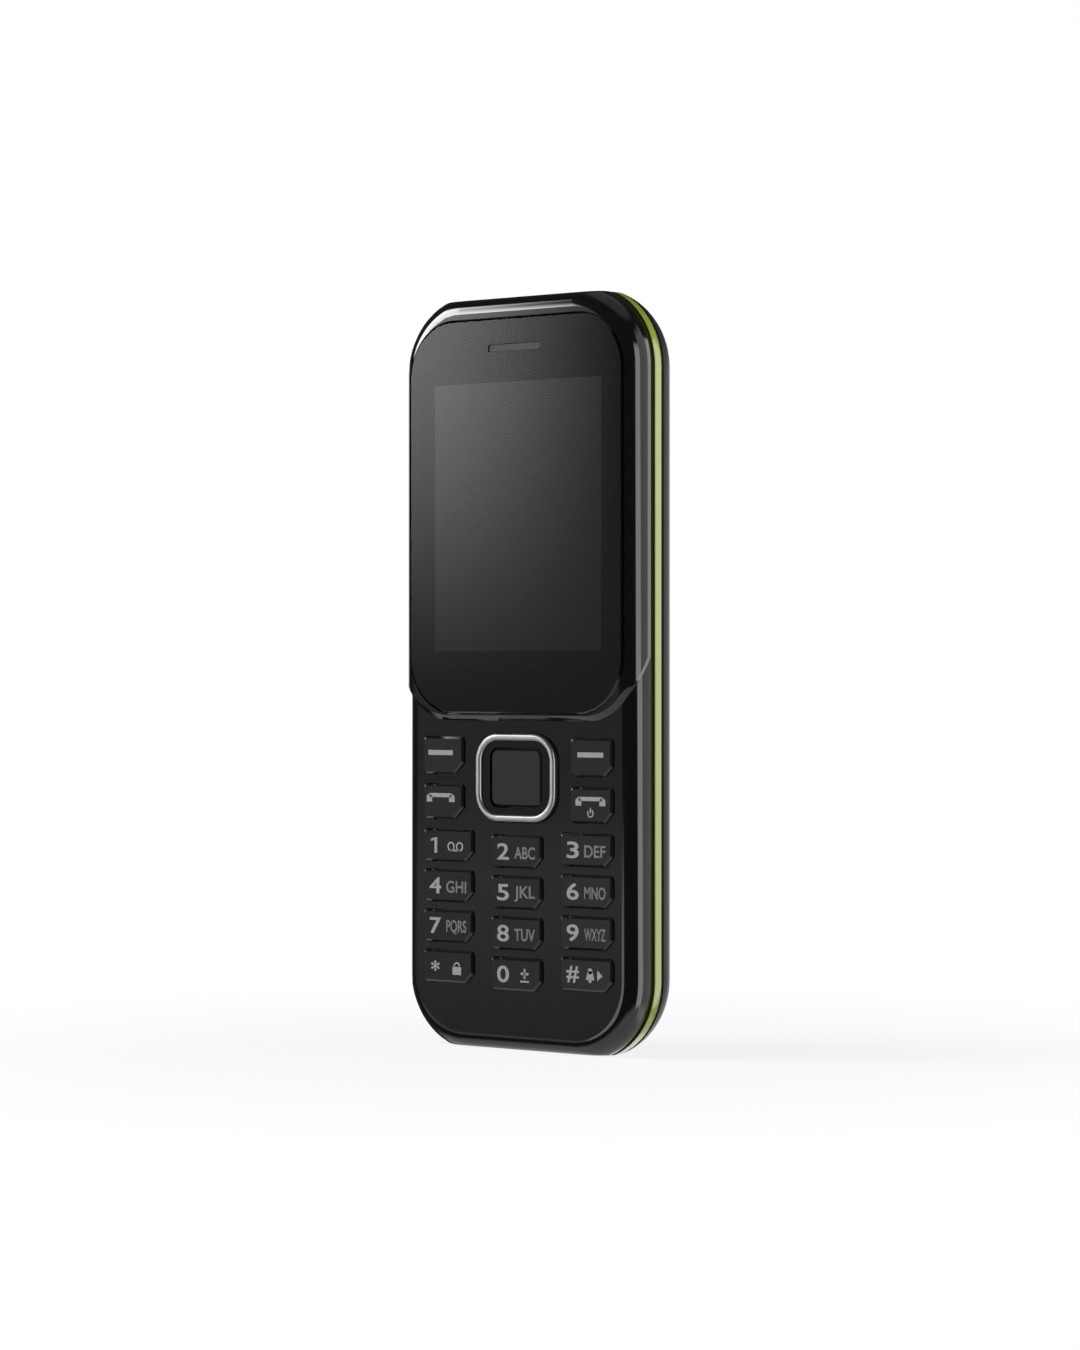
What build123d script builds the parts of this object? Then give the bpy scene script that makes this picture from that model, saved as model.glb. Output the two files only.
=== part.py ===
# Candybar feature phone, in millimetres.
# The finished phone stands upright: +Z up, the front faces -Y, +X is to the right of the screen.
# It is drawn lying on its back first: x across, y from the bottom end up, z from the back
# cover towards the viewer. The place function at the end stands it up.

import os
from build123d import *

os.makedirs("parts", exist_ok=True)

# Whole body
BODY_W = 45.8
BODY_H = 112.5
BODY_T = 13.4
CORNER_R = 12.0
END_CROWN = 0.8
END_SOFTENING = 1.5
FRONT_R = 3.0
BACK_R = 7.6
OVERRUN = 2.0

# Fits and joints between pieces
FIT = 0.1
GLUE_LINE = 0.05
PRESS_STROKE = 0.3
STROKE_SPARE = 0.02

# Front fascia
KEYPAD_DROP = 0.9
SCREEN_SHELL_DROP = 0.2
FASCIA_DEPTH = 3.9
FASCIA_WALL = 1.3
FASCIA_PLATE = 1.2
STEP_TAPER = 48.0
STEP_CORNER_R = 9.5
STEP_SHARE = 0.4373
STEP_Y = BODY_H * STEP_SHARE

# Screen window
WINDOW_SIDE_MARGIN = 2.2
WINDOW_W = BODY_W - 2 * WINDOW_SIDE_MARGIN
WINDOW_STEP_GAP = 1.0
WINDOW_Y = STEP_Y + WINDOW_STEP_GAP
WINDOW_TOP_MARGIN = 3.1
WINDOW_T = 1.2
WINDOW_R = 8.6
WINDOW_BEVEL = 0.3
SLOT_W = 10.0
SLOT_H = 1.1
SLOT_FROM_TOP = 4.5
MESH_SINK = 0.15
MESH_BACK = 0.75

# Display
GLASS_SIDE_MARGIN = 3.7
GLASS_LOW_MARGIN = 8.0
GLASS_HIGH_MARGIN = 8.2
GLASS_T = 1.1
GLASS_W = WINDOW_W - 2 * GLASS_SIDE_MARGIN
GLASS_Y = WINDOW_Y + GLASS_LOW_MARGIN
GLASS_H = BODY_H - WINDOW_TOP_MARGIN - GLASS_HIGH_MARGIN - GLASS_Y
BACKLIGHT_T = 0.9
TRAY_BORDER = 1.2
RIBBON_W = 12.0
RIBBON_T = 0.12
RIBBON_LONG = 6.0
CONNECTOR_D = 2.4
CONNECTOR_T = 0.9

# Side band and seams
SEAM = 0.7
SEAM_INSET = 0.3
BAND_LAND = 1.6
BAND_NECK = 0.9
BAND_NECK_INSET = 0.25
BAND_WALL = 1.2

# Rear case and back cover
COVER_WALL = 1.0
COVER_GAP = 0.15
FLOOR_T = 0.9
SHELF = 0.25
CASE_WALL = 1.0
BAY_WALL = 1.0
BLOCK_FACE = 1.7
GRILLE_SLOTS = 5
GRILLE_SLOT_W = 0.9
GRILLE_PITCH = 2.0
GRILLE_LONG = 8.0
NAIL_NOTCH_W = 9.0
NAIL_NOTCH_D = 0.7
NAIL_NOTCH_X = 12.0

# Main board
BOARD_T = 0.8
BOARD_INSET = 2.6
CAN_T = 1.4
CAN_WALL = 0.2
CHIP_T = 0.8
CHIP_SHARE = 0.45
PROCESSOR_W_SHARE = 0.568
PROCESSOR_H_SHARE = 0.2133
RADIO_W_SHARE = 0.48
RADIO_H_SHARE = 0.0711
RADIO_GAP = 2.9
CAN_GAP = 1.5

# Keys
KEY_PROUD = 0.5
KEY_CUT = 1.5
KEY_R = 0.7
KEY_BEVEL = 0.3
KEY_GAP = 0.12
FLANGE_OUT = 0.45
FLANGE_T = 0.45
PLUNGER_R = 1.1
COLUMN_PITCH_SHARE = 0.2937
COLUMN_PITCH = BODY_W * COLUMN_PITCH_SHARE
COLUMN_GAP = 3.55
COLUMN_KEY_W = COLUMN_PITCH - COLUMN_GAP
ROW_PITCH_SHARE = 0.0542
ROW_PITCH = BODY_H * ROW_PITCH_SHARE
ROW_GAP = 1.3
KEY_H = ROW_PITCH - ROW_GAP
FIRST_ROW_SHARE = 0.2693
FIRST_ROW_Y = BODY_H * FIRST_ROW_SHARE
MIDDLE_DROP = 0.6
SOFT_KEY_W_SHARE = 0.1747
SOFT_KEY_W = BODY_W * SOFT_KEY_W_SHARE
SOFT_KEY_X_SHARE = 0.3144
SOFT_KEY_X = BODY_W * SOFT_KEY_X_SHARE
SOFT_KEY_H_SHARE = 0.0498
SOFT_KEY_H = BODY_H * SOFT_KEY_H_SHARE
SOFT_KEY_Y_SHARE = 0.3902
SOFT_KEY_Y = BODY_H * SOFT_KEY_Y_SHARE
CALL_KEY_H_SHARE = 0.0462
CALL_KEY_H = BODY_H * CALL_KEY_H_SHARE
CALL_KEY_Y_SHARE = 0.328
CALL_KEY_Y = BODY_H * CALL_KEY_Y_SHARE
CALL_CUT = 1.8

# Snap domes and silicone web
DOME_SHARE = 0.344
DOME_R = ROW_PITCH * DOME_SHARE
DOME_T = 0.32
SHEET_T = 0.12
SHEET_HOLE_GAP = 0.2
WEB_T = 0.38
WEB_RIM = 1.0
WEB_MARGIN = 1.0
WEB_HOLE_GAP = 0.15

# Navigation key
NAV_Y_SHARE = 0.3618
NAV_Y = BODY_H * NAV_Y_SHARE
NAV_W_SHARE = 0.3362
NAV_W = BODY_W * NAV_W_SHARE
NAV_H_SHARE = 0.1164
NAV_H = BODY_H * NAV_H_SHARE
NAV_R = 4.2
NAV_GAP = 0.2
NAV_PROUD = 0.8
NAV_CHROME = 1.0
NAV_CHROME_T = 1.0
NAV_CHROME_R = 0.35
NAV_DISH = 0.4
NAV_FLANGE_OUT = 0.5
NAV_FLANGE_T = 0.45
NAV_FLANGE_DROP = 0.42
NAV_NUB_R = 0.5
NAV_NUB_EDGE = 0.5
NAV_TILT_ROOM = 0.23
SELECT_SIDE_MARGIN = 2.8
SELECT_W = NAV_W - 2 * SELECT_SIDE_MARGIN
SELECT_END_MARGIN = 2.25
SELECT_H = NAV_H - 2 * SELECT_END_MARGIN
SELECT_R = 1.3
SELECT_PROUD = 0.4
SELECT_FLANGE_OUT = 0.6
SELECT_FLANGE_T = 0.3
SELECT_FLANGE_ROOM = 0.35
SELECT_LIFT = 0.25
SELECT_STROKE = 0.25
PLATE_T = 0.25
PLATE_MARGIN = 1.15
PLATE_W = NAV_W - 2 * PLATE_MARGIN
PLATE_H = NAV_H - 2 * PLATE_MARGIN
PLATE_HOLE_R = 1.6
PLATE_RISE = 0.43
FOOT_X = 3.2
FOOT_L = 1.0
FOOT_W = 0.5
FOOT_GAP = 0.03
RIDGE_L = 0.3

# Screws
SCREW_R = 0.8
SCREW_HEAD_R = 1.4
SCREW_HEAD_T = 0.7
SCREW_LONG = 4.9
BOSS_R = 1.8
SCREW_TOP_IN = 7.7
SCREW_TOP_DROP = 5.3
SCREW_TOP_X = BODY_W / 2 - SCREW_TOP_IN
SCREW_TOP_Y = BODY_H - SCREW_TOP_DROP
SCREW_LOW_IN = 5.9
SCREW_LOW_X = BODY_W / 2 - SCREW_LOW_IN
SCREW_LOW_Y = 5.7
SCREW_MID_IN = 3.0
SCREW_MID_RISE = 4.2
SCREW_MID_X = BODY_W / 2 - SCREW_MID_IN
SCREW_MID_Y = STEP_Y + SCREW_MID_RISE
RECESS_R = 0.55
RECESS_D = 0.4

# Headphone jack, at the top end
JACK_IN = 14.4
JACK_X = JACK_IN - BODY_W / 2
JACK_Z = 6.3
JACK_BORE_R = 1.8
JACK_NOSE_R = 2.3
JACK_NOSE_LONG = 3.0
JACK_BODY_W = 6.0
JACK_BODY_T = 4.6
JACK_BODY_LONG = 11.0
JACK_BORE_LONG = 13.0
PORT_WALL = 0.4
PORT_SINK = 0.1

# Micro USB socket, at the bottom end
USB_W = 7.6
USB_T = 2.5
USB_LONG = 5.6
USB_SHELL = 0.3
USB_TONGUE_W = 3.8
USB_TONGUE_T = 0.6
USB_SINK = 0.5
USB_TOP_GAP = 0.05
USB_R = 0.5

# Sound
EARPIECE_W = 11.0
EARPIECE_H = 4.6
EARPIECE_R = 1.6
MIC_R = 1.8
MIC_T = 1.2
MIC_IN = 12.4
MIC_X = BODY_W / 2 - MIC_IN
MIC_Y = 4.5
MIC_HOLE_R = 0.35
SPEAKER_W_SHARE = 0.3275
SPEAKER_W = BODY_W * SPEAKER_W_SHARE
SPEAKER_H = 11.0
SPEAKER_T = 3.4
SPEAKER_X_SHARE = 0.1878
SPEAKER_X = BODY_W * SPEAKER_X_SHARE
SPEAKER_DROP = 14.3
SPEAKER_Y = BODY_H - SPEAKER_DROP
SPEAKER_R = 3.0
SPEAKER_BACK = 0.6

# Vibration motor
MOTOR_R = 2.0
MOTOR_LONG = 7.0
MOTOR_IN = 6.9
MOTOR_X = MOTOR_IN - BODY_W / 2
MOTOR_BELOW_SPEAKER = 4.4
MOTOR_Y = SPEAKER_Y - MOTOR_BELOW_SPEAKER
MOTOR_AXLE_R = 0.4
WEIGHT_R = 1.8
WEIGHT_T = 2.6
WEIGHT_GAP = 0.4
AXLE_FIT = 0.03

# Battery
BATTERY_IN = 5.9
BATTERY_W = BODY_W - 2 * BATTERY_IN
BATTERY_T = 4.6
BATTERY_R = 1.0
BATTERY_GAP = 0.15
BLADE_BLOCK_W = 9.0
BLADE_BLOCK_D = 2.2
BLADE_BLOCK_T = 5.0
BLADE_BLOCK_IN = 8.0
BLADE_COUNT = 3
BLADE_PITCH = 2.5
BLADE_W = 0.8
BLADE_OUT = 0.1
BLADE_IN = 1.2
BLADE_T = 2.0

# Card sockets
SIM_W_SHARE = 0.3493
SIM_W = BODY_W * SIM_W_SHARE
SIM_H = 18.0
SIM_T = 2.1
SIM_APART = 0.8
SIM_X = SIM_W / 2 + SIM_APART
SIM_Y_SHARE = 0.1991
SIM_Y = BODY_H * SIM_Y_SHARE
SIM_SHEET = 0.25
SIM_CARD_ROOM = 0.9
CARD_W_SHARE = 0.3057
CARD_W = BODY_W * CARD_W_SHARE
CARD_H_SHARE = 0.0978
CARD_H = BODY_H * CARD_H_SHARE
CARD_T = 1.8
CARD_X_SHARE = 0.1747
CARD_X = -BODY_W * CARD_X_SHARE
CARD_Y_SHARE = 0.0853
CARD_Y = BODY_H * CARD_Y_SHARE
CARD_ROOM = 0.8

# The battery's place, between the card sockets and the loudspeaker
BATTERY_SIM_GAP = 3.2
BATTERY_Y = SIM_Y + SIM_H + BATTERY_SIM_GAP
BATTERY_SPEAKER_GAP = 3.1
BATTERY_H = SPEAKER_Y - SPEAKER_H / 2 - BATTERY_SPEAKER_GAP - BATTERY_Y
BLADE_X = BATTERY_W / 2 - BLADE_BLOCK_IN

# Middle x, middle y, width and height of the two shield cans, above the battery's low end
RADIO_H = BODY_H * RADIO_H_SHARE
RADIO_Y = BATTERY_Y + RADIO_GAP + RADIO_H / 2
RADIO_PLACE = (0.0, RADIO_Y, BODY_W * RADIO_W_SHARE, RADIO_H)
PROCESSOR_H = BODY_H * PROCESSOR_H_SHARE
PROCESSOR_Y = RADIO_Y + RADIO_H / 2 + CAN_GAP + PROCESSOR_H / 2
PROCESSOR_PLACE = (0.0, PROCESSOR_Y, BODY_W * PROCESSOR_W_SHARE, PROCESSOR_H)

# Antenna
ANTENNA_W_SHARE = 0.6114
ANTENNA_W = BODY_W * ANTENNA_W_SHARE
ANTENNA_H = 3.6
ANTENNA_T = 0.2
ANTENNA_Y = 4.0
ANTENNA_TAB = 8.0
ANTENNA_SLOT_W = ANTENNA_W - ANTENNA_TAB
ANTENNA_SLOT_H = 1.0
ANTENNA_FACE = 3.4
LOWER_BLOCK_TOP_Y = 8.4

# Heights of the layers above the back face
FACE_Z = BODY_T - KEYPAD_DROP
SCREEN_SHELL_Z = BODY_T - SCREEN_SHELL_DROP
SPLIT_Z = BODY_T - FASCIA_DEPTH
BAND_LOW_Z = SPLIT_Z - BAND_LAND - BAND_NECK
COVER_RIM_Z = BAND_LOW_Z - SEAM
PLATE_LOW_Z = FACE_Z - FASCIA_PLATE
WINDOW_LOW_Z = BODY_T - WINDOW_T
BOARD_TOP_Z = SPLIT_Z - FIT
BOARD_LOW_Z = BOARD_TOP_Z - BOARD_T
FLOOR_TOP_Z = BAND_LOW_Z
FLOOR_LOW_Z = FLOOR_TOP_Z - FLOOR_T
BATTERY_TOP_Z = FLOOR_LOW_Z - BATTERY_GAP
BATTERY_LOW_Z = BATTERY_TOP_Z - BATTERY_T
SHEET_TOP_Z = BOARD_TOP_Z + SHEET_T
DOME_TOP_Z = BOARD_TOP_Z + DOME_T
WEB_LOW_Z = DOME_TOP_Z + PRESS_STROKE + STROKE_SPARE
WEB_TOP_Z = WEB_LOW_Z + WEB_T
FLANGE_LOW_Z = PLATE_LOW_Z - FIT - FLANGE_T
KEY_TOP_Z = FACE_Z + KEY_PROUD


# Small helpers

def slab(x_size, y_size, z_low, z_high, x=0.0, y=0.0, r=0.0):
    """Upright block between two heights, centred on x and y, with optional round corners."""
    if r > 0:
        flat = RectangleRounded(x_size, y_size, r)
    else:
        flat = Rectangle(x_size, y_size)
    return Pos(x, y, z_low) * extrude(flat, z_high - z_low)


def post(radius, z_low, z_high, x=0.0, y=0.0):
    """Upright cylinder between two heights."""
    return Pos(x, y, z_low) * extrude(Circle(radius), z_high - z_low)


def end_rod(radius, y_low, y_high, x, z):
    """Cylinder along y between two places."""
    return Pos(x, y_high, z) * Rot(90, 0, 0) * extrude(Circle(radius), y_high - y_low)


def cross_rod(radius, x_low, x_high, y, z):
    """Cylinder along x between two places."""
    return Pos(x_low, y, z) * Rot(0, 90, 0) * extrude(Circle(radius), x_high - x_low)


def outline(inset, z_low, z_high):
    """Prism of the body's plan, drawn in by an inset on every side, with flat ends."""
    height = BODY_H + 2 * END_CROWN - 2 * inset
    flat = RectangleRounded(BODY_W - 2 * inset, height, CORNER_R - inset)
    prism = Pos(0, BODY_H / 2, z_low) * extrude(flat, z_high - z_low)
    return prism & slab(BODY_W, BODY_H - 2 * inset, z_low, z_high, y=BODY_H / 2)


def form(inset, z_low, z_high, back_r, front_r, softening=0.0):
    """The body's rounded form, drawn in by an inset, with flat lands on its two ends."""
    height = BODY_H + 2 * END_CROWN - 2 * inset
    flat = RectangleRounded(BODY_W - 2 * inset, height, CORNER_R - inset)
    solid = Pos(0, BODY_H / 2, z_low) * extrude(flat, z_high - z_low)
    if back_r > 0:
        solid = fillet(solid.edges().group_by(Axis.Z)[0], back_r)
    if front_r > 0:
        solid = fillet(solid.edges().group_by(Axis.Z)[-1], front_r)
    solid = solid & slab(BODY_W, BODY_H - 2 * inset, z_low, z_high, y=BODY_H / 2)
    if softening > 0:
        low_end = solid.faces().sort_by(Axis.Y)[0]
        high_end = solid.faces().sort_by(Axis.Y)[-1]
        solid = fillet(low_end.edges() + high_end.edges(), softening)
    return solid


# Places that several pieces share
KEY_ROWS = [FIRST_ROW_Y - row * ROW_PITCH for row in range(4)]
KEY_NAMES = [
    ["key_1", "key_2", "key_3"],
    ["key_4", "key_5", "key_6"],
    ["key_7", "key_8", "key_9"],
    ["key_star", "key_0", "key_hash"],
]

# Name, middle x, middle y, width, height and corner cut of every plain key
KEYS = []
for row_names, row_y in zip(KEY_NAMES, KEY_ROWS):
    KEYS.append((row_names[0], -COLUMN_PITCH, row_y, COLUMN_KEY_W, KEY_H, KEY_CUT))
    KEYS.append((row_names[1], 0.0, row_y - MIDDLE_DROP, COLUMN_KEY_W, KEY_H, KEY_CUT))
    KEYS.append((row_names[2], COLUMN_PITCH, row_y, COLUMN_KEY_W, KEY_H, KEY_CUT))
KEYS.append(("soft_key_left", -SOFT_KEY_X, SOFT_KEY_Y, SOFT_KEY_W, SOFT_KEY_H, CALL_CUT))
KEYS.append(("soft_key_right", SOFT_KEY_X, SOFT_KEY_Y, SOFT_KEY_W, SOFT_KEY_H, KEY_CUT))
KEYS.append(("call_key", -SOFT_KEY_X, CALL_KEY_Y, SOFT_KEY_W, CALL_KEY_H, CALL_CUT))
KEYS.append(("end_key", SOFT_KEY_X, CALL_KEY_Y, SOFT_KEY_W, CALL_KEY_H, KEY_CUT))

NUB_X = NAV_W / 2 + NAV_FLANGE_OUT - NAV_NUB_EDGE - NAV_NUB_R
NUB_Y = NAV_H / 2 + NAV_FLANGE_OUT - NAV_NUB_EDGE - NAV_NUB_R
NUBS = [(NUB_X, 0.0), (-NUB_X, 0.0), (0.0, NUB_Y), (0.0, -NUB_Y)]
NAV_DOME_X = NUB_X - NAV_NUB_R
NAV_DOME_Y = NUB_Y - NAV_NUB_R
DOMES = [(x, y) for _, x, y, _, _, _ in KEYS]
DOMES += [(0.0, NAV_Y), (NAV_DOME_X, NAV_Y), (-NAV_DOME_X, NAV_Y)]
DOMES += [(0.0, NAV_Y + NAV_DOME_Y), (0.0, NAV_Y - NAV_DOME_Y)]

SCREWS = []
for side in (-1, 1):
    SCREWS.append((side * SCREW_TOP_X, SCREW_TOP_Y))
    SCREWS.append((side * SCREW_MID_X, SCREW_MID_Y))
    SCREWS.append((side * SCREW_LOW_X, SCREW_LOW_Y))

WINDOW_H = BODY_H - WINDOW_TOP_MARGIN - WINDOW_Y
WINDOW_MID_Y = WINDOW_Y + WINDOW_H / 2
SLOT_Y = WINDOW_Y + WINDOW_H - SLOT_FROM_TOP
GLASS_MID_Y = GLASS_Y + GLASS_H / 2
GLASS_TOP_Z = WINDOW_LOW_Z - FIT
TRAY_W = GLASS_W + 2 * TRAY_BORDER
TRAY_H = GLASS_H + 2 * TRAY_BORDER


def key_plan(width, height, cut, grow=0.0):
    """Rounded key shape with its lower right corner cut off, grown by a margin."""
    flat = RectangleRounded(width + 2 * grow, height + 2 * grow, KEY_R + grow)
    right = width / 2 + grow
    low = -height / 2 - grow
    slope = cut + grow
    corner = Polygon((right, low), (right, low + slope), (right - slope, low), align=None)
    return flat - corner


def key_opening(x, y, width, height, cut):
    """Hole in the fascia's plate for one key."""
    tall = FACE_Z - PLATE_LOW_Z + 2 * OVERRUN
    plan = key_plan(width, height, cut, KEY_GAP)
    return Pos(x, y, PLATE_LOW_Z - OVERRUN) * extrude(plan, tall)


def port_rod(extra=0.0):
    """Round boss of the headphone port, grown by a clearance."""
    radius = JACK_NOSE_R + GLUE_LINE + PORT_WALL + extra
    return end_rod(radius, BODY_H - JACK_NOSE_LONG, BODY_H + OVERRUN, JACK_X, JACK_Z)


def port_block(extra=0.0):
    """Oblong boss of the USB port, grown by a clearance."""
    wide = USB_W + 2 * (GLUE_LINE + PORT_WALL + extra)
    tall = USB_T + 2 * (GLUE_LINE + PORT_WALL + extra)
    middle = BOARD_LOW_Z - USB_TOP_GAP - USB_T / 2
    flat = RectangleRounded(wide, tall, USB_R + GLUE_LINE + PORT_WALL + extra)
    deep = USB_LONG + OVERRUN
    return Pos(0, USB_LONG, middle) * Rot(90, 0, 0) * extrude(flat, deep)


# The outer forms

def outer_form():
    """Whole body with the keypad's lower face."""
    return form(0.0, 0.0, FACE_Z, BACK_R, FRONT_R, END_SOFTENING)


def screen_form():
    """The thicker screen section, with a sloped step at its lower edge."""
    tall = form(0.0, 0.0, SCREEN_SHELL_Z, 0.0, FRONT_R, END_SOFTENING)
    step_h = 2 * (BODY_H - STEP_Y)
    middle = STEP_Y + step_h / 2
    flat = RectangleRounded(BODY_W, step_h, STEP_CORNER_R)
    region = Pos(0, middle, SPLIT_Z) * extrude(flat, FACE_Z - SPLIT_Z)
    slope = extrude(flat, SCREEN_SHELL_Z - FACE_Z, taper=STEP_TAPER)
    return tall & (region + Pos(0, middle, FACE_Z) * slope)


BODY = outer_form()


# Front of the phone

def front_fascia():
    shell = BODY & slab(BODY_W, BODY_H, SPLIT_Z, BODY_T, y=BODY_H / 2)
    shell = shell + screen_form()
    inside_r = FRONT_R - FASCIA_WALL
    shell = shell - form(FASCIA_WALL, SPLIT_Z - OVERRUN, PLATE_LOW_Z, 0.0, inside_r)
    window = slab(WINDOW_W + 2 * FIT, WINDOW_H + 2 * FIT, WINDOW_LOW_Z, BODY_T + OVERRUN,
                  y=WINDOW_MID_Y, r=WINDOW_R + FIT)
    shell = shell - window
    shell = shell - slab(GLASS_W + 2 * FIT, GLASS_H + 2 * FIT, SPLIT_Z, BODY_T, y=GLASS_MID_Y)
    shell = shell - slab(SLOT_W, SLOT_H, SPLIT_Z, BODY_T, y=SLOT_Y, r=SLOT_H / 3)
    for _, x, y, width, height, cut in KEYS:
        shell = shell - key_opening(x, y, width, height, cut)
    shell = shell - slab(NAV_W + 2 * NAV_GAP, NAV_H + 2 * NAV_GAP, SPLIT_Z, BODY_T,
                         y=NAV_Y, r=NAV_R + NAV_GAP)
    room = form(FASCIA_WALL / 2, SPLIT_Z - OVERRUN, PLATE_LOW_Z + GLUE_LINE, 0.0, inside_r)
    for x, y in SCREWS:
        boss = post(BOSS_R, BOARD_TOP_Z + FIT, PLATE_LOW_Z + GLUE_LINE, x, y)
        shell = shell + (boss & room)
    for x, y in SCREWS:
        shell = shell - post(SCREW_R, BOARD_TOP_Z, screw_tip_z() + FIT, x, y)
    shell = shell - end_rod(MIC_HOLE_R, -OVERRUN, MIC_Y, MIC_X, BOARD_TOP_Z + MIC_T / 2)
    return shell


def screen_window():
    panel = slab(WINDOW_W, WINDOW_H, WINDOW_LOW_Z, BODY_T, y=WINDOW_MID_Y, r=WINDOW_R)
    panel = chamfer(panel.edges().group_by(Axis.Z)[-1], WINDOW_BEVEL)
    return panel - slab(SLOT_W, SLOT_H, SPLIT_Z, BODY_T + OVERRUN, y=SLOT_Y, r=SLOT_H / 3)


def earpiece_mesh():
    width = SLOT_W - 2 * GLUE_LINE
    height = SLOT_H - 2 * GLUE_LINE
    top = BODY_T - MESH_SINK
    return slab(width, height, top - WINDOW_T - MESH_BACK, top, y=SLOT_Y, r=height / 3)


# Display

def lcd_glass():
    return slab(GLASS_W, GLASS_H, GLASS_TOP_Z - GLASS_T, GLASS_TOP_Z, y=GLASS_MID_Y)


def lcd_backlight():
    top = GLASS_TOP_Z - GLASS_T
    return slab(GLASS_W, GLASS_H, top - BACKLIGHT_T, top, y=GLASS_MID_Y)


def lcd_frame():
    top = PLATE_LOW_Z - FIT
    pocket_low = GLASS_TOP_Z - GLASS_T - BACKLIGHT_T
    tray = slab(TRAY_W, TRAY_H, BOARD_TOP_Z + RIBBON_T, top, y=GLASS_MID_Y)
    return tray - slab(GLASS_W, GLASS_H, pocket_low, top + OVERRUN, y=GLASS_MID_Y)


def display_ribbon():
    high = GLASS_Y + RIBBON_LONG / 2
    low = GLASS_Y - TRAY_BORDER - RIBBON_LONG / 2
    return slab(RIBBON_W, high - low, BOARD_TOP_Z, BOARD_TOP_Z + RIBBON_T, y=(high + low) / 2)


def display_connector():
    low = GLASS_Y - TRAY_BORDER - RIBBON_LONG / 2
    base = BOARD_TOP_Z + RIBBON_T
    return slab(RIBBON_W, CONNECTOR_D, base, base + CONNECTOR_T, y=low + CONNECTOR_D / 2)


# Keys

def key_cap(x, y, width, height, cut):
    tall = KEY_TOP_Z - FLANGE_LOW_Z
    body = Pos(x, y, FLANGE_LOW_Z) * extrude(key_plan(width, height, cut), tall)
    body = chamfer(body.edges().group_by(Axis.Z)[-1], KEY_BEVEL)
    flange_w = width + 2 * FLANGE_OUT
    flange_h = height + 2 * FLANGE_OUT
    flange = slab(flange_w, flange_h, FLANGE_LOW_Z, FLANGE_LOW_Z + FLANGE_T, x, y, KEY_R)
    plunger_low = DOME_TOP_Z + PRESS_STROKE + STROKE_SPARE
    return body + flange + post(PLUNGER_R, plunger_low, FLANGE_LOW_Z, x, y)


NAV_FLANGE_TOP_Z = PLATE_LOW_Z - NAV_FLANGE_DROP
NAV_LOW_Z = NAV_FLANGE_TOP_Z - NAV_FLANGE_T
NAV_TOP_Z = FACE_Z + NAV_PROUD
NAV_BLACK_TOP_Z = NAV_TOP_Z - NAV_DISH
SELECT_TOP_Z = FACE_Z + SELECT_PROUD
SELECT_FLANGE_LOW_Z = NAV_LOW_Z + SELECT_LIFT
ROCK_PLATE_LOW_Z = SHEET_TOP_Z + PLATE_RISE


def nav_ring():
    """Black rocker with a flange, a seat for the chrome ring and four nubs below."""
    body = slab(NAV_W, NAV_H, NAV_LOW_Z, NAV_TOP_Z - NAV_CHROME_T, y=NAV_Y, r=NAV_R)
    neck_w = NAV_W - 2 * NAV_CHROME
    neck_h = NAV_H - 2 * NAV_CHROME
    neck_r = NAV_R - NAV_CHROME
    body = body + slab(neck_w, neck_h, NAV_LOW_Z, NAV_BLACK_TOP_Z, y=NAV_Y, r=neck_r)
    flange_w = NAV_W + 2 * NAV_FLANGE_OUT
    flange_h = NAV_H + 2 * NAV_FLANGE_OUT
    body = body + slab(flange_w, flange_h, NAV_LOW_Z, NAV_FLANGE_TOP_Z, y=NAV_Y, r=NAV_R)
    hole_w = SELECT_W + 2 * NAV_GAP
    hole_h = SELECT_H + 2 * NAV_GAP
    body = body - slab(hole_w, hole_h, NAV_LOW_Z - OVERRUN, BODY_T, y=NAV_Y, r=SELECT_R + NAV_GAP)
    room_w = hole_w + 2 * SELECT_FLANGE_OUT
    room_h = hole_h + 2 * SELECT_FLANGE_OUT
    room_top = SELECT_FLANGE_LOW_Z + SELECT_FLANGE_T + SELECT_FLANGE_ROOM
    body = body - slab(room_w, room_h, NAV_LOW_Z - OVERRUN, room_top, y=NAV_Y, r=SELECT_R)
    nub_low = DOME_TOP_Z + NAV_TILT_ROOM
    for x, y in NUBS:
        body = body + post(NAV_NUB_R, nub_low, NAV_LOW_Z, x, NAV_Y + y)
    return body


def nav_ring_trim():
    low = NAV_TOP_Z - NAV_CHROME_T
    ring = slab(NAV_W, NAV_H, low, NAV_TOP_Z, y=NAV_Y, r=NAV_R)
    inner_w = NAV_W - 2 * NAV_CHROME
    inner_h = NAV_H - 2 * NAV_CHROME
    ring = ring - slab(inner_w, inner_h, low, NAV_TOP_Z, y=NAV_Y, r=NAV_R - NAV_CHROME)
    return fillet(ring.edges().group_by(Axis.Z)[-1], NAV_CHROME_R)


def nav_select_key():
    body = slab(SELECT_W, SELECT_H, SELECT_FLANGE_LOW_Z, SELECT_TOP_Z, y=NAV_Y, r=SELECT_R)
    body = chamfer(body.edges().group_by(Axis.Z)[-1], KEY_BEVEL)
    flange_w = SELECT_W + 2 * SELECT_FLANGE_OUT
    flange_h = SELECT_H + 2 * SELECT_FLANGE_OUT
    flange_top = SELECT_FLANGE_LOW_Z + SELECT_FLANGE_T
    body = body + slab(flange_w, flange_h, SELECT_FLANGE_LOW_Z, flange_top, y=NAV_Y, r=SELECT_R)
    plunger_low = DOME_TOP_Z + SELECT_STROKE + STROKE_SPARE
    return body + post(PLUNGER_R, plunger_low, SELECT_FLANGE_LOW_Z, 0.0, NAV_Y)


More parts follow.
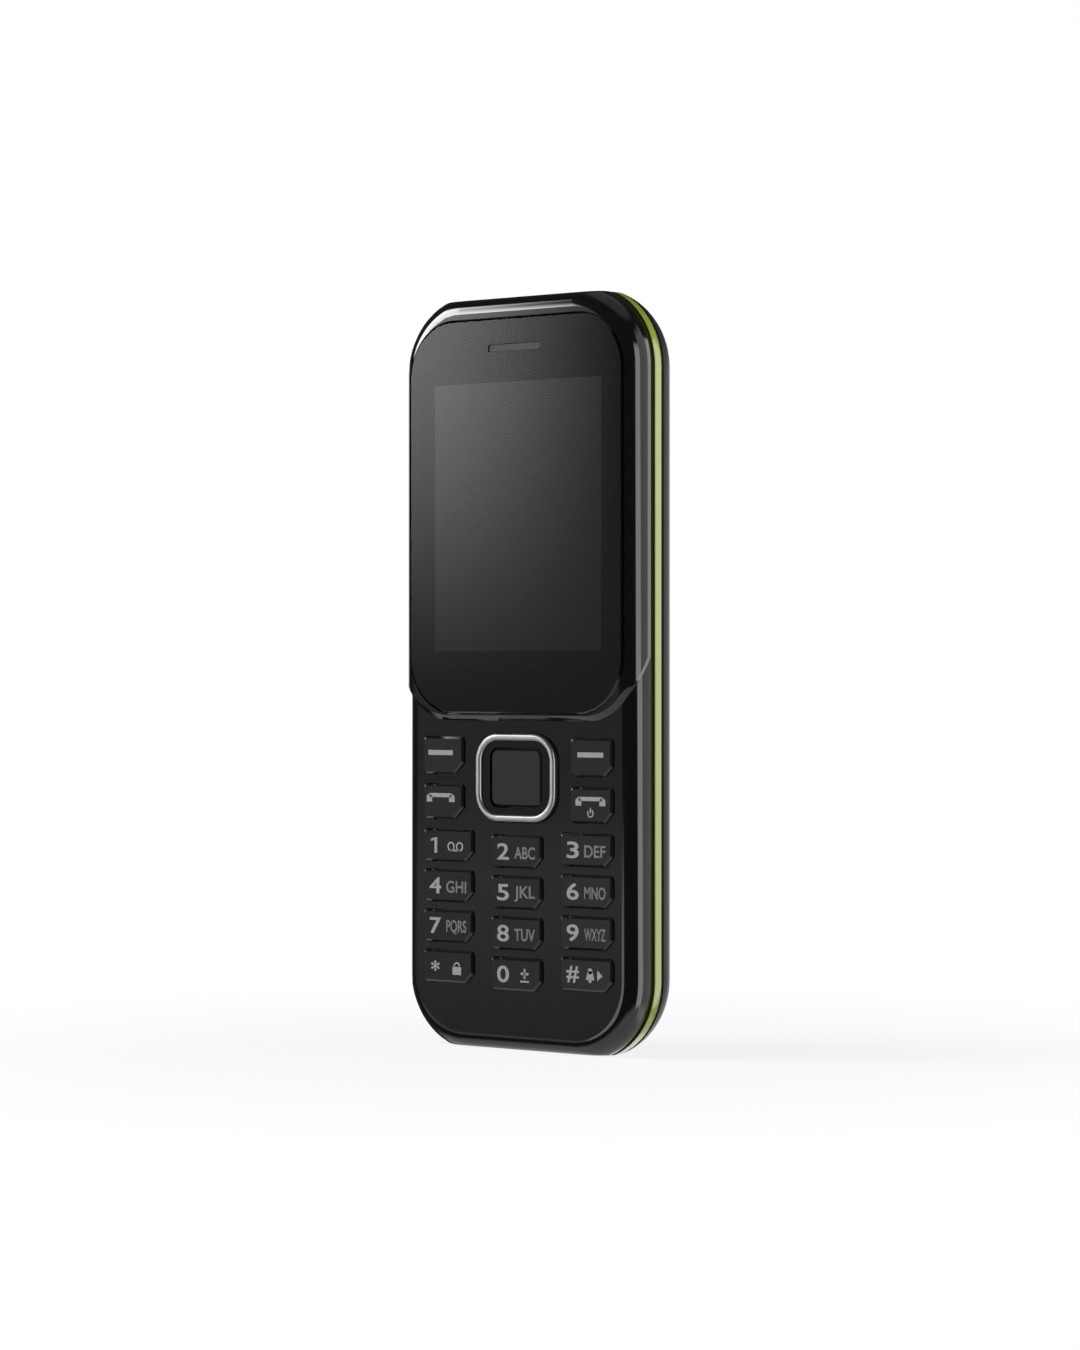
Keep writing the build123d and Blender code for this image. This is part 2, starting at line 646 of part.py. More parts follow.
def nav_rocker_plate():
    """Thin plate that rocks on two feet and carries the ring on two ridges."""
    low = ROCK_PLATE_LOW_Z
    high = low + PLATE_T
    plate = slab(PLATE_W, PLATE_H, low, high, y=NAV_Y, r=SELECT_R)
    plate = plate - post(PLATE_HOLE_R, low - OVERRUN, high + OVERRUN, 0.0, NAV_Y)
    for side in (-1, 1):
        foot_low = SHEET_TOP_Z + FOOT_GAP
        plate = plate + slab(FOOT_L, FOOT_W, foot_low, low, side * FOOT_X, NAV_Y)
        ridge_y = NAV_Y + side * (PLATE_H - RIDGE_L) / 2
        plate = plate + slab(FOOT_W, RIDGE_L, high, NAV_LOW_Z - FOOT_GAP, 0.0, ridge_y)
    return plate


def web_size():
    """Width, height and middle of the silicone web."""
    width = 2 * COLUMN_PITCH + COLUMN_KEY_W + 2 * WEB_MARGIN
    low = KEY_ROWS[-1] - MIDDLE_DROP - KEY_H / 2 - WEB_MARGIN
    high = NAV_Y + NAV_H / 2 + NAV_FLANGE_OUT + WEB_MARGIN + WEB_RIM / 2
    return width, high - low, (high + low) / 2


def keymat():
    width, height, middle = web_size()
    web = slab(width, height, SHEET_TOP_Z, WEB_TOP_Z, y=middle, r=KEY_R)
    inner_w = width - 2 * WEB_RIM
    inner_h = height - 2 * WEB_RIM
    web = web - slab(inner_w, inner_h, SHEET_TOP_Z, WEB_LOW_Z, y=middle, r=KEY_R)
    for _, x, y, _, _, _ in KEYS:
        web = web - post(PLUNGER_R + WEB_HOLE_GAP, SHEET_TOP_Z, WEB_TOP_Z + OVERRUN, x, y)
    nav_w = NAV_W + 2 * (NAV_FLANGE_OUT + NAV_GAP)
    nav_h = NAV_H + 2 * (NAV_FLANGE_OUT + NAV_GAP)
    return web - slab(nav_w, nav_h, SHEET_TOP_Z, WEB_TOP_Z + OVERRUN, y=NAV_Y, r=NAV_R)


def dome_sheet():
    width, height, middle = web_size()
    sheet = slab(width, height, BOARD_TOP_Z, SHEET_TOP_Z, y=middle, r=KEY_R)
    for x, y in DOMES:
        sheet = sheet - post(DOME_R + SHEET_HOLE_GAP, BOARD_TOP_Z, SHEET_TOP_Z + OVERRUN, x, y)
    return sheet


def metal_domes():
    """Snap domes: shallow round caps, one under each key and five under the nav key."""
    ball_r = (DOME_R * DOME_R + DOME_T * DOME_T) / (2 * DOME_T)
    caps = []
    for x, y in DOMES:
        ball = Pos(x, y, DOME_TOP_Z - ball_r) * Sphere(ball_r)
        caps.append(ball & post(2 * DOME_R, BOARD_TOP_Z, DOME_TOP_Z + OVERRUN, x, y))
    return Compound([cap.solid() for cap in caps])


# Main board and what is on it

CAN_LOW_Z = BOARD_LOW_Z - CAN_T


def main_board():
    board = outline(BOARD_INSET, BOARD_LOW_Z, BOARD_TOP_Z)
    for x, y in SCREWS:
        board = board - post(SCREW_R + FIT, BOARD_LOW_Z, BOARD_TOP_Z, x, y)
    return board


def shield_can(place):
    x, y, width, height = place
    can = slab(width, height, CAN_LOW_Z, BOARD_LOW_Z, x, y, KEY_R)
    inner_w = width - 2 * CAN_WALL
    inner_h = height - 2 * CAN_WALL
    return can - slab(inner_w, inner_h, CAN_LOW_Z + CAN_WALL, BOARD_LOW_Z, x, y, KEY_R)


def chip(place, share):
    x, y, width, height = place
    side = min(width, height) * share
    return slab(side, side, BOARD_LOW_Z - CHIP_T, BOARD_LOW_Z, x, y)


def micro_usb_socket():
    middle = BOARD_LOW_Z - USB_TOP_GAP - USB_T / 2
    shell = Pos(0, USB_LONG, middle) * Rot(90, 0, 0) * extrude(
        RectangleRounded(USB_W, USB_T, USB_R), USB_LONG - USB_SINK)
    inner_w = USB_W - 2 * USB_SHELL
    inner_t = USB_T - 2 * USB_SHELL
    hollow = Pos(0, USB_LONG - USB_SHELL, middle) * Rot(90, 0, 0) * extrude(
        RectangleRounded(inner_w, inner_t, USB_R - USB_SHELL), USB_LONG)
    tongue = Pos(0, USB_LONG, middle) * Rot(90, 0, 0) * extrude(
        Rectangle(USB_TONGUE_W, USB_TONGUE_T), USB_LONG - 2 * USB_SINK)
    return shell - hollow + tongue


def headphone_jack():
    nose_top = BODY_H - PORT_SINK
    body_top = BODY_H - JACK_NOSE_LONG - FIT
    body_low = body_top - JACK_BODY_LONG
    body = slab(JACK_BODY_W, JACK_BODY_LONG, JACK_Z - JACK_BODY_T / 2,
                JACK_Z + JACK_BODY_T / 2, JACK_X, (body_top + body_low) / 2)
    body = body + end_rod(JACK_NOSE_R, body_top - FIT, nose_top, JACK_X, JACK_Z)
    return body - end_rod(JACK_BORE_R, nose_top - JACK_BORE_LONG, nose_top, JACK_X, JACK_Z)


# Sound

def earpiece_speaker():
    top = PLATE_LOW_Z - FIT
    return slab(EARPIECE_W, EARPIECE_H, BOARD_TOP_Z, top, y=SLOT_Y, r=EARPIECE_R)


def microphone():
    return post(MIC_R, BOARD_TOP_Z, BOARD_TOP_Z + MIC_T, MIC_X, MIC_Y)


def loudspeaker():
    low = BLOCK_FACE + SPEAKER_BACK
    body = slab(SPEAKER_W, SPEAKER_H, low, low + SPEAKER_T, SPEAKER_X, SPEAKER_Y, SPEAKER_R)
    rim = SPEAKER_R / 2
    dish = slab(SPEAKER_W - 2 * rim, SPEAKER_H - 2 * rim, low - OVERRUN, low + SPEAKER_BACK,
                SPEAKER_X, SPEAKER_Y, rim)
    return body - dish


# Vibration motor

MOTOR_Z = BLOCK_FACE + MOTOR_R
MOTOR_END_X = MOTOR_X + MOTOR_LONG
WEIGHT_X = MOTOR_END_X + WEIGHT_GAP


def vibration_motor():
    can = cross_rod(MOTOR_R, MOTOR_X, MOTOR_END_X, MOTOR_Y, MOTOR_Z)
    axle_end = WEIGHT_X + WEIGHT_T
    return can + cross_rod(MOTOR_AXLE_R, MOTOR_END_X, axle_end, MOTOR_Y, MOTOR_Z)


def vibration_weight():
    """Half disc that turns on the motor's axle, with a hub round it."""
    disc = cross_rod(WEIGHT_R, WEIGHT_X, WEIGHT_X + WEIGHT_T, MOTOR_Y, MOTOR_Z)
    half = Pos(WEIGHT_X, MOTOR_Y, MOTOR_Z) * Box(
        WEIGHT_T, 2 * WEIGHT_R, WEIGHT_R, align=(Align.MIN, Align.CENTER, Align.MIN))
    hub = cross_rod(2 * MOTOR_AXLE_R, WEIGHT_X, WEIGHT_X + WEIGHT_T, MOTOR_Y, MOTOR_Z)
    bore = cross_rod(MOTOR_AXLE_R + AXLE_FIT, WEIGHT_X - OVERRUN, WEIGHT_X + WEIGHT_T + OVERRUN,
                     MOTOR_Y, MOTOR_Z)
    return (disc & half) + hub - bore


# Battery and cards

def battery_pack():
    middle = BATTERY_Y + BATTERY_H / 2
    cell = slab(BATTERY_W, BATTERY_H, BATTERY_LOW_Z, BATTERY_TOP_Z, y=middle)
    return fillet(cell.edges().filter_by(Axis.Y), BATTERY_R)


BLADE_TOP_Z = BOARD_LOW_Z
BLADE_LOW_Z = BLADE_TOP_Z - BLADE_BLOCK_T
BLADE_WALL_Y = BATTERY_Y - BATTERY_GAP


def blade_solids():
    blades = []
    for index in range(BLADE_COUNT):
        x = BLADE_X + (index - (BLADE_COUNT - 1) / 2) * BLADE_PITCH
        low = BLADE_LOW_Z + (BLADE_BLOCK_T - BLADE_T) / 4
        middle = BLADE_WALL_Y + (BLADE_OUT - BLADE_IN) / 2
        blades.append(slab(BLADE_W, BLADE_OUT + BLADE_IN, low, low + BLADE_T, x, middle))
    return blades


def battery_connector():
    middle = BLADE_WALL_Y - BLADE_BLOCK_D / 2
    block = slab(BLADE_BLOCK_W, BLADE_BLOCK_D, BLADE_LOW_Z, BLADE_TOP_Z, BLADE_X, middle)
    for blade in blade_solids():
        block = block - blade
    return block


def battery_contacts():
    """Blades that stand out of the connector's slots towards the battery's end."""
    return Compound([blade.solid() for blade in blade_solids()])


def card_socket(x, y_low, width, height, thick, room, sheet):
    """Open-ended metal socket on the back of the board."""
    middle = y_low + height / 2
    low = BOARD_LOW_Z - thick
    body = slab(width, height, low, BOARD_LOW_Z, x, middle)
    pocket = slab(width - 2 * sheet, height, low + sheet, low + sheet + room, x,
                  middle + sheet)
    view = slab(width / 2, height / 2, low - OVERRUN, low + sheet, x, middle)
    return body - pocket - view


def antenna():
    low = ANTENNA_FACE - ANTENNA_T
    strip = slab(ANTENNA_W, ANTENNA_H, low, ANTENNA_FACE, y=ANTENNA_Y + ANTENNA_H / 2)
    slot_x = (ANTENNA_W - ANTENNA_SLOT_W) / 2
    slot = slab(ANTENNA_SLOT_W, ANTENNA_SLOT_H, low, ANTENNA_FACE, slot_x,
                ANTENNA_Y + ANTENNA_H / 2)
    return strip - slot


# Shells behind the fascia

def side_trim():
    """Lime band: a wide land and a narrower, set-back neck towards the fascia."""
    land = BODY & slab(BODY_W, BODY_H, BAND_LOW_Z, BAND_LOW_Z + BAND_LAND, y=BODY_H / 2)
    ring = land + outline(BAND_NECK_INSET, BAND_LOW_Z + BAND_LAND, SPLIT_Z)
    ring = ring - outline(BAND_WALL, BAND_LOW_Z - OVERRUN, SPLIT_Z + OVERRUN)
    return ring - port_rod(FIT) - port_block(FIT)


def cover_room():
    """What fits inside the back cover with its clearance."""
    inset = COVER_WALL + COVER_GAP
    return form(inset, inset, SPLIT_Z, BACK_R - inset, 0.0)


def screw_tip_z():
    return FLOOR_LOW_Z + SCREW_LONG


def rear_case():
    """Floor, side wall, battery bay, upper and lower blocks and the two port bosses."""
    room = cover_room()
    floor = room & slab(BODY_W, BODY_H, FLOOR_LOW_Z, FLOOR_TOP_Z, y=BODY_H / 2)
    floor = floor + outline(SEAM_INSET, COVER_RIM_Z + GLUE_LINE, FLOOR_TOP_Z)
    wall_inset = BAND_WALL + GLUE_LINE
    wall = outline(wall_inset, FLOOR_TOP_Z, BOARD_TOP_Z)
    wall = wall - outline(wall_inset + CASE_WALL, FLOOR_TOP_Z, BOARD_TOP_Z)
    case = floor + wall

    bay_low = BATTERY_Y - BATTERY_GAP
    bay_high = BATTERY_Y + BATTERY_H + BATTERY_GAP
    bay_w = BATTERY_W + 2 * BATTERY_GAP
    top_y = BODY_H - COVER_WALL - COVER_GAP
    low_y = COVER_WALL + COVER_GAP
    block_low_y = bay_high
    upper = slab(BODY_W, top_y - block_low_y, BLOCK_FACE, FLOOR_LOW_Z,
                 y=(top_y + block_low_y) / 2)
    side_low_y = bay_low - BAY_WALL
    sides = slab(bay_w + 2 * BAY_WALL, bay_high - side_low_y, BLOCK_FACE, FLOOR_LOW_Z,
                 y=(bay_high + side_low_y) / 2)
    lower = slab(BODY_W, LOWER_BLOCK_TOP_Y - low_y, ANTENNA_FACE, FLOOR_LOW_Z,
                 y=(LOWER_BLOCK_TOP_Y + low_y) / 2)
    case = case + ((upper + sides + lower) & room)
    case = case - slab(bay_w, bay_high - bay_low, -OVERRUN, FLOOR_LOW_Z,
                       y=(bay_high + bay_low) / 2)

    speaker_low = BLOCK_FACE + SPEAKER_BACK
    speaker_w = SPEAKER_W + 2 * GLUE_LINE
    speaker_h = SPEAKER_H + 2 * GLUE_LINE
    case = case - slab(speaker_w, speaker_h, -OVERRUN, speaker_low + SPEAKER_T, SPEAKER_X,
                       SPEAKER_Y, SPEAKER_R + GLUE_LINE)
    motor_x = (MOTOR_X + WEIGHT_X + WEIGHT_T) / 2
    motor_w = WEIGHT_X + WEIGHT_T - MOTOR_X + 2 * SHELF
    motor_h = 2 * MOTOR_R + 2 * GLUE_LINE
    case = case - slab(motor_w, motor_h, -OVERRUN, MOTOR_Z + MOTOR_R + GLUE_LINE, motor_x,
                       MOTOR_Y)

    case = case + (port_rod() & slab(BODY_W, BODY_H, 0.0, BODY_T, y=BODY_H / 2 - PORT_SINK))
    case = case + (port_block() & slab(BODY_W, BODY_H, 0.0, BODY_T, y=BODY_H / 2))
    jack_h = JACK_BODY_LONG + FIT
    jack_y = BODY_H - JACK_NOSE_LONG - jack_h / 2
    case = case - slab(JACK_BODY_W + 2 * FIT, jack_h + 2 * FIT, JACK_Z - JACK_BODY_T / 2 - FIT,
                       BOARD_TOP_Z, JACK_X, jack_y)
    case = case - end_rod(JACK_NOSE_R + GLUE_LINE, jack_y, BODY_H + OVERRUN, JACK_X, JACK_Z)
    usb_w = USB_W + 2 * GLUE_LINE
    usb_t = USB_T + 2 * GLUE_LINE
    usb_z = BOARD_LOW_Z - USB_TOP_GAP - USB_T / 2
    usb_flat = RectangleRounded(usb_w, usb_t, USB_R + GLUE_LINE)
    usb_deep = USB_LONG + GLUE_LINE
    case = case - Pos(0, usb_deep, usb_z) * Rot(90, 0, 0) * extrude(usb_flat, usb_deep + OVERRUN)
    case = case - outline(BOARD_INSET - FIT, BOARD_LOW_Z, SPLIT_Z)

    for side in (-1, 1):
        case = case - socket_hole(side * SIM_X, SIM_Y, SIM_W, SIM_H, SIM_T)
    case = case - socket_hole(CARD_X, CARD_Y, CARD_W, CARD_H, CARD_T)
    blade_y = BLADE_WALL_Y - BLADE_BLOCK_D / 2
    case = case - slab(BLADE_BLOCK_W + 2 * FIT, BLADE_BLOCK_D + 2 * FIT, BLADE_LOW_Z - FIT,
                       BOARD_LOW_Z, BLADE_X, blade_y)

    post_room = outline(wall_inset, FLOOR_TOP_Z, BOARD_LOW_Z)
    for x, y in SCREWS:
        case = case + (post(SCREW_HEAD_R, FLOOR_TOP_Z, BOARD_LOW_Z, x, y) & post_room)
    for x, y in SCREWS:
        case = case - post(SCREW_R + GLUE_LINE, FLOOR_LOW_Z - OVERRUN, BOARD_TOP_Z, x, y)
        case = case - post(SCREW_HEAD_R + FIT, -OVERRUN, FLOOR_LOW_Z, x, y)
    return case


def socket_hole(x, y_low, width, height, thick):
    """Opening in the rear case's floor for a card socket."""
    return slab(width + 2 * FIT, height + 2 * FIT, BOARD_LOW_Z - thick - OVERRUN, BOARD_LOW_Z,
                x, y_low + height / 2)


def back_cover():
    shell = BODY & slab(BODY_W, BODY_H, 0.0, COVER_RIM_Z, y=BODY_H / 2)
    shell = shell - form(COVER_WALL, COVER_WALL, SPLIT_Z, BACK_R - COVER_WALL, 0.0)
    for index in range(GRILLE_SLOTS):
        y = SPEAKER_Y + (index - (GRILLE_SLOTS - 1) / 2) * GRILLE_PITCH
        shell = shell - slab(GRILLE_LONG, GRILLE_SLOT_W, -OVERRUN, COVER_WALL + OVERRUN,
                             SPEAKER_X, y, GRILLE_SLOT_W / 3)
    shell = shell - slab(NAIL_NOTCH_W, 2 * COVER_WALL + OVERRUN, COVER_RIM_Z - NAIL_NOTCH_D,
                         COVER_RIM_Z, NAIL_NOTCH_X)
    return shell - port_rod(FIT) - port_block(FIT)


def case_screws():
    """Six identical screws, heads at the rear case's floor and tips in the fascia's bosses."""
    screws = []
    for x, y in SCREWS:
        screw = post(SCREW_R, FLOOR_LOW_Z, screw_tip_z(), x, y)
        screw = screw + post(SCREW_HEAD_R, FLOOR_LOW_Z - SCREW_HEAD_T, FLOOR_LOW_Z, x, y)
        head_low = FLOOR_LOW_Z - SCREW_HEAD_T
        for turn in (0, 90):
            slot = Box(2 * RECESS_R, RECESS_R / 2, 2 * RECESS_D)
            screw = screw - Pos(x, y, head_low) * Rot(0, 0, turn) * slot
        screws.append(screw.solid())
    return Compound(screws)


# Every piece, by name

PIECES = {
    "front_fascia": front_fascia(),
    "screen_window": screen_window(),
    "earpiece_mesh": earpiece_mesh(),
    "lcd_glass": lcd_glass(),
    "lcd_backlight": lcd_backlight(),
    "lcd_frame": lcd_frame(),
    "display_ribbon": display_ribbon(),
    "display_connector": display_connector(),
    "nav_ring": nav_ring(),
    "nav_ring_trim": nav_ring_trim(),
    "nav_select_key": nav_select_key(),
    "nav_rocker_plate": nav_rocker_plate(),
    "keymat": keymat(),
    "dome_sheet": dome_sheet(),
    "metal_domes": metal_domes(),
    "main_board": main_board(),
    "shield_can_processor": shield_can(PROCESSOR_PLACE),
    "shield_can_radio": shield_can(RADIO_PLACE),
    "processor_chip": chip(PROCESSOR_PLACE, CHIP_SHARE),
    "radio_chip": chip(RADIO_PLACE, CHIP_SHARE),
    "micro_usb_socket": micro_usb_socket(),
    "headphone_jack": headphone_jack(),
    "earpiece_speaker": earpiece_speaker(),
    "microphone": microphone(),
    "loudspeaker": loudspeaker(),
    "vibration_motor": vibration_motor(),
    "vibration_weight": vibration_weight(),
    "battery_pack": battery_pack(),
    "battery_connector": battery_connector(),
    "battery_contacts": battery_contacts(),
    "sim_socket_1": card_socket(-SIM_X, SIM_Y, SIM_W, SIM_H, SIM_T, SIM_CARD_ROOM, SIM_SHEET),
    "sim_socket_2": card_socket(SIM_X, SIM_Y, SIM_W, SIM_H, SIM_T, SIM_CARD_ROOM, SIM_SHEET),
    "memory_card_socket": card_socket(CARD_X, CARD_Y, CARD_W, CARD_H, CARD_T, CARD_ROOM,
                                      SIM_SHEET),
    "antenna": antenna(),
    "side_trim": side_trim(),
    "rear_case": rear_case(),
    "back_cover": back_cover(),
    "case_screws": case_screws(),
}
for key_name, key_x, key_y, key_width, key_height, key_corner in KEYS:
    PIECES[key_name] = key_cap(key_x, key_y, key_width, key_height, key_corner)


def place(piece):
    """Stand the phone on its lower end, with its thickness centred on the origin."""
    return Pos(0, BODY_T / 2, 0) * Rot(90, 0, 0) * piece


for piece_name, piece in PIECES.items():
    export_step(place(piece), f"parts/{piece_name}.step")
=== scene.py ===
# Looks of the candybar feature phone: camera, light, materials and the printed and small pieces.
# Blender works in metres. The numbers below are in millimetres unless they say otherwise.

import math

import bpy
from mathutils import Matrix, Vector


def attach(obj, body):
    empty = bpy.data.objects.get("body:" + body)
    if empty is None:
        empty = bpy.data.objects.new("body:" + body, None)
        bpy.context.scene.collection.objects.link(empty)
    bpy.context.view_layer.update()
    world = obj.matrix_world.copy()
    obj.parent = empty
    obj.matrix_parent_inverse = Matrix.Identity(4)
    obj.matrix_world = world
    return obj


MM = 0.001

# The part's sizes that the printed pieces and the painted shade in the band's groove follow.
# Heights are from the back face.
HALF_T = 6.7
KEY_TOP = 13.0
WINDOW_BACK = 12.21
GROOVE_HEIGHT = 8.6
GROOVE_SHADE_SOFT = 0.35

# Print stands this much proud of its carrier and reaches this deep into it
PRINT_T = 0.02
PRINT_SINK = 0.005

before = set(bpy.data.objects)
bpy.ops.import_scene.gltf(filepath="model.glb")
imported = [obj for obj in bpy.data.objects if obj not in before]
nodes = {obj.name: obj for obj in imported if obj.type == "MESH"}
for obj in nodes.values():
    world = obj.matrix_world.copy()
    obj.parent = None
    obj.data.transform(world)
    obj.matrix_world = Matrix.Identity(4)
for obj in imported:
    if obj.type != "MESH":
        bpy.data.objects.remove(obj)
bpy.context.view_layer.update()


def front(height):
    """Place across the thickness, in metres, of a height above the back face."""
    return (HALF_T - height) * MM


# Materials

def shader(name):
    """New material with an empty tree apart from its shader and output."""
    material = bpy.data.materials.new(name)
    material.use_nodes = True
    tree = material.node_tree
    return material, tree, tree.nodes["Principled BSDF"]


COAT_ROUGH = 0.05


def finish_of(name, color, rough, metal=0.0, ior=1.5, coat=0.0, spec=0.5):
    """Plain finish: colour in linear light, roughness and an optional clear coat."""
    material, _, bsdf = shader(name)
    bsdf.inputs["Base Color"].default_value = (*color, 1.0)
    bsdf.inputs["Roughness"].default_value = rough
    bsdf.inputs["Metallic"].default_value = metal
    bsdf.inputs["IOR"].default_value = ior
    bsdf.inputs["Coat Weight"].default_value = coat
    bsdf.inputs["Coat Roughness"].default_value = COAT_ROUGH
    bsdf.inputs["Specular IOR Level"].default_value = spec
    return material


GRAIN_DETAIL = 2.0
GRAIN_DEPTH = 2e-5  # metres


def add_grain(material, scale, strength):
    """Fine moulded texture: noise into the shader's bump."""
    tree = material.node_tree
    coords = tree.nodes.new("ShaderNodeTexCoord")
    noise = tree.nodes.new("ShaderNodeTexNoise")
    noise.inputs["Scale"].default_value = scale
    noise.inputs["Detail"].default_value = GRAIN_DETAIL
    bump = tree.nodes.new("ShaderNodeBump")
    bump.inputs["Strength"].default_value = strength
    bump.inputs["Distance"].default_value = GRAIN_DEPTH
    tree.links.new(coords.outputs["Object"], noise.inputs["Vector"])
    tree.links.new(noise.outputs["Fac"], bump.inputs["Height"])
    tree.links.new(bump.outputs["Normal"], tree.nodes["Principled BSDF"].inputs["Normal"])
    return material


def glass_of(name, color, rough, ior):
    """Clear finish that lets light through."""
    material = finish_of(name, color, rough, ior=ior)
    material.node_tree.nodes["Principled BSDF"].inputs["Transmission Weight"].default_value = 1.0
    return material


WIRE_ROUGH = 0.45
WIRE_METAL = 0.6
WIRE_GAP = (0.004, 0.004, 0.004)


def mesh_cloth(name, color, pitch):
    """Fine woven mesh: a checker of wires and the darker gaps between them."""
    material = finish_of(name, color, WIRE_ROUGH, metal=WIRE_METAL)
    tree = material.node_tree
    coords = tree.nodes.new("ShaderNodeTexCoord")
    checker = tree.nodes.new("ShaderNodeTexChecker")
    checker.inputs["Scale"].default_value = 1.0 / (pitch * MM)
    checker.inputs["Color1"].default_value = (*color, 1.0)
    checker.inputs["Color2"].default_value = (*WIRE_GAP, 1.0)
    tree.links.new(coords.outputs["Object"], checker.inputs["Vector"])
    bsdf = tree.nodes["Principled BSDF"]
    tree.links.new(checker.outputs["Color"], bsdf.inputs["Base Color"])
    return material


def paint_groove_shade(material, shade, height, soft):
    """Painted shade: darker and duller in front of a height above the back face, where the
    band's groove falls in shade.
    """
    tree = material.node_tree
    bsdf = tree.nodes["Principled BSDF"]
    place = tree.nodes.new("ShaderNodeNewGeometry")
    parts = tree.nodes.new("ShaderNodeSeparateXYZ")
    blend = tree.nodes.new("ShaderNodeMapRange")
    blend.inputs["From Min"].default_value = front(height)
    blend.inputs["From Max"].default_value = front(height - soft)
    colors = tree.nodes.new("ShaderNodeValToRGB")
    colors.color_ramp.elements[0].color = (*shade, 1.0)
    colors.color_ramp.elements[1].color = bsdf.inputs["Base Color"].default_value
    tree.links.new(place.outputs["Position"], parts.inputs[0])
    tree.links.new(parts.outputs["Y"], blend.inputs["Value"])
    tree.links.new(blend.outputs["Result"], colors.inputs[0])
    tree.links.new(colors.outputs[0], bsdf.inputs["Base Color"])
    for name in ("Coat Weight", "Specular IOR Level"):
        share = tree.nodes.new("ShaderNodeMath")
        share.operation = "MULTIPLY"
        share.inputs[1].default_value = bsdf.inputs[name].default_value
        tree.links.new(blend.outputs["Result"], share.inputs[0])
        tree.links.new(share.outputs[0], bsdf.inputs[name])
    return material


# The finishes. Each name says what a piece is made of or coated with.
gloss_black = finish_of("gloss_black", (0.0035, 0.0035, 0.004), 0.06)
key_black = finish_of("key_black", (0.004, 0.004, 0.005), 0.15, spec=0.45)
nav_black = finish_of("nav_black", (0.004, 0.004, 0.004), 0.15, spec=0.2)
select_grey = finish_of("select_grey", (0.011, 0.011, 0.0095), 0.2, spec=0.3)
window_clear = glass_of("window_clear", (0.9, 0.9, 0.92), 0.0, 1.45)
display_dark = finish_of("display_dark", (0.002, 0.002, 0.0025), 0.4, spec=0.08)
chrome = finish_of("chrome", (0.27, 0.275, 0.265), 0.4, metal=1.0)
# The lime band: its own colour, with painted shade on its front edge in the groove.
lime = paint_groove_shade(finish_of("lime", (0.27, 0.32, 0.035), 0.3, coat=0.5),
                    (0.02, 0.026, 0.004), GROOVE_HEIGHT, GROOVE_SHADE_SOFT)
cover_black = add_grain(finish_of("cover_black", (0.010, 0.010, 0.011), 0.42), 9000.0, 0.15)
matte_black = finish_of("matte_black", (0.012, 0.012, 0.013), 0.55)
print_grey = finish_of("print_grey", (0.25, 0.25, 0.25), 0.6)
letter_grey = finish_of("letter_grey", (0.12, 0.12, 0.12), 0.6)
display_film = finish_of("display_film", (0.001, 0.001, 0.002), 0.08, spec=0.22)
border_film = finish_of("border_film", (0.0005, 0.0005, 0.0005), 0.5, spec=0.0)
earpiece_wire = mesh_cloth("earpiece_wire", (0.05, 0.05, 0.05), 0.18)

FINISHES = {
    "front_fascia": gloss_black,
    "screen_window": window_clear,
    "earpiece_mesh": earpiece_wire,
    "lcd_glass": display_dark,
    "lcd_backlight": finish_of("diffuser_white", (0.75, 0.75, 0.72), 0.5),
    "lcd_frame": finish_of("steel", (0.5, 0.5, 0.5), 0.32, metal=1.0),
    "display_ribbon": finish_of("film_amber", (0.35, 0.13, 0.02), 0.3),
    "display_connector": finish_of("connector_ivory", (0.6, 0.56, 0.45), 0.45),
    "nav_ring": nav_black,
    "nav_ring_trim": chrome,
    "nav_select_key": select_grey,
    "nav_rocker_plate": bpy.data.materials["steel"],
    "keymat": finish_of("silicone", (0.35, 0.36, 0.38), 0.5),
    "dome_sheet": finish_of("film_clear", (0.5, 0.5, 0.5), 0.2),
    "metal_domes": bpy.data.materials["steel"],
    "main_board": finish_of("board_green", (0.01, 0.09, 0.03), 0.35),
    "shield_can_processor": bpy.data.materials["steel"],
    "shield_can_radio": bpy.data.materials["steel"],
    "processor_chip": finish_of("chip_black", (0.015, 0.015, 0.015), 0.4),
    "radio_chip": bpy.data.materials["chip_black"],
    "micro_usb_socket": bpy.data.materials["steel"],
    "headphone_jack": matte_black,
    "earpiece_speaker": finish_of("speaker_black", (0.02, 0.02, 0.02), 0.5),
    "microphone": bpy.data.materials["speaker_black"],
    "loudspeaker": bpy.data.materials["speaker_black"],
    "vibration_motor": bpy.data.materials["steel"],
    "vibration_weight": finish_of("tungsten", (0.2, 0.19, 0.18), 0.4, metal=1.0),
    "battery_pack": finish_of("battery_grey", (0.12, 0.12, 0.125), 0.4),
    "battery_connector": bpy.data.materials["speaker_black"],
    "battery_contacts": finish_of("gold", (0.85, 0.56, 0.2), 0.25, metal=1.0),
    "sim_socket_1": bpy.data.materials["steel"],
    "sim_socket_2": bpy.data.materials["steel"],
    "memory_card_socket": bpy.data.materials["steel"],
    "antenna": finish_of("copper", (0.75, 0.38, 0.2), 0.3, metal=1.0),
    "side_trim": lime,
    "rear_case": add_grain(matte_black, 6000.0, 0.1),
    "back_cover": cover_black,
    "case_screws": finish_of("screw_black", (0.08, 0.08, 0.08), 0.35, metal=1.0),
}
for name, node in nodes.items():
    finish = FINISHES.get(name, key_black)
    node.data.materials.clear()
    node.data.materials.append(finish)


# Flat printed pieces on the front

def solid_piece(name, verts, faces, material, body):
    """Mesh piece that rides on a body."""
    mesh = bpy.data.meshes.new(name)
    mesh.from_pydata(verts, [], faces)
    mesh.update()
    mesh.materials.append(material)
    piece = bpy.data.objects.new(name, mesh)
    bpy.context.scene.collection.objects.link(piece)
    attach(piece, body)
    return piece


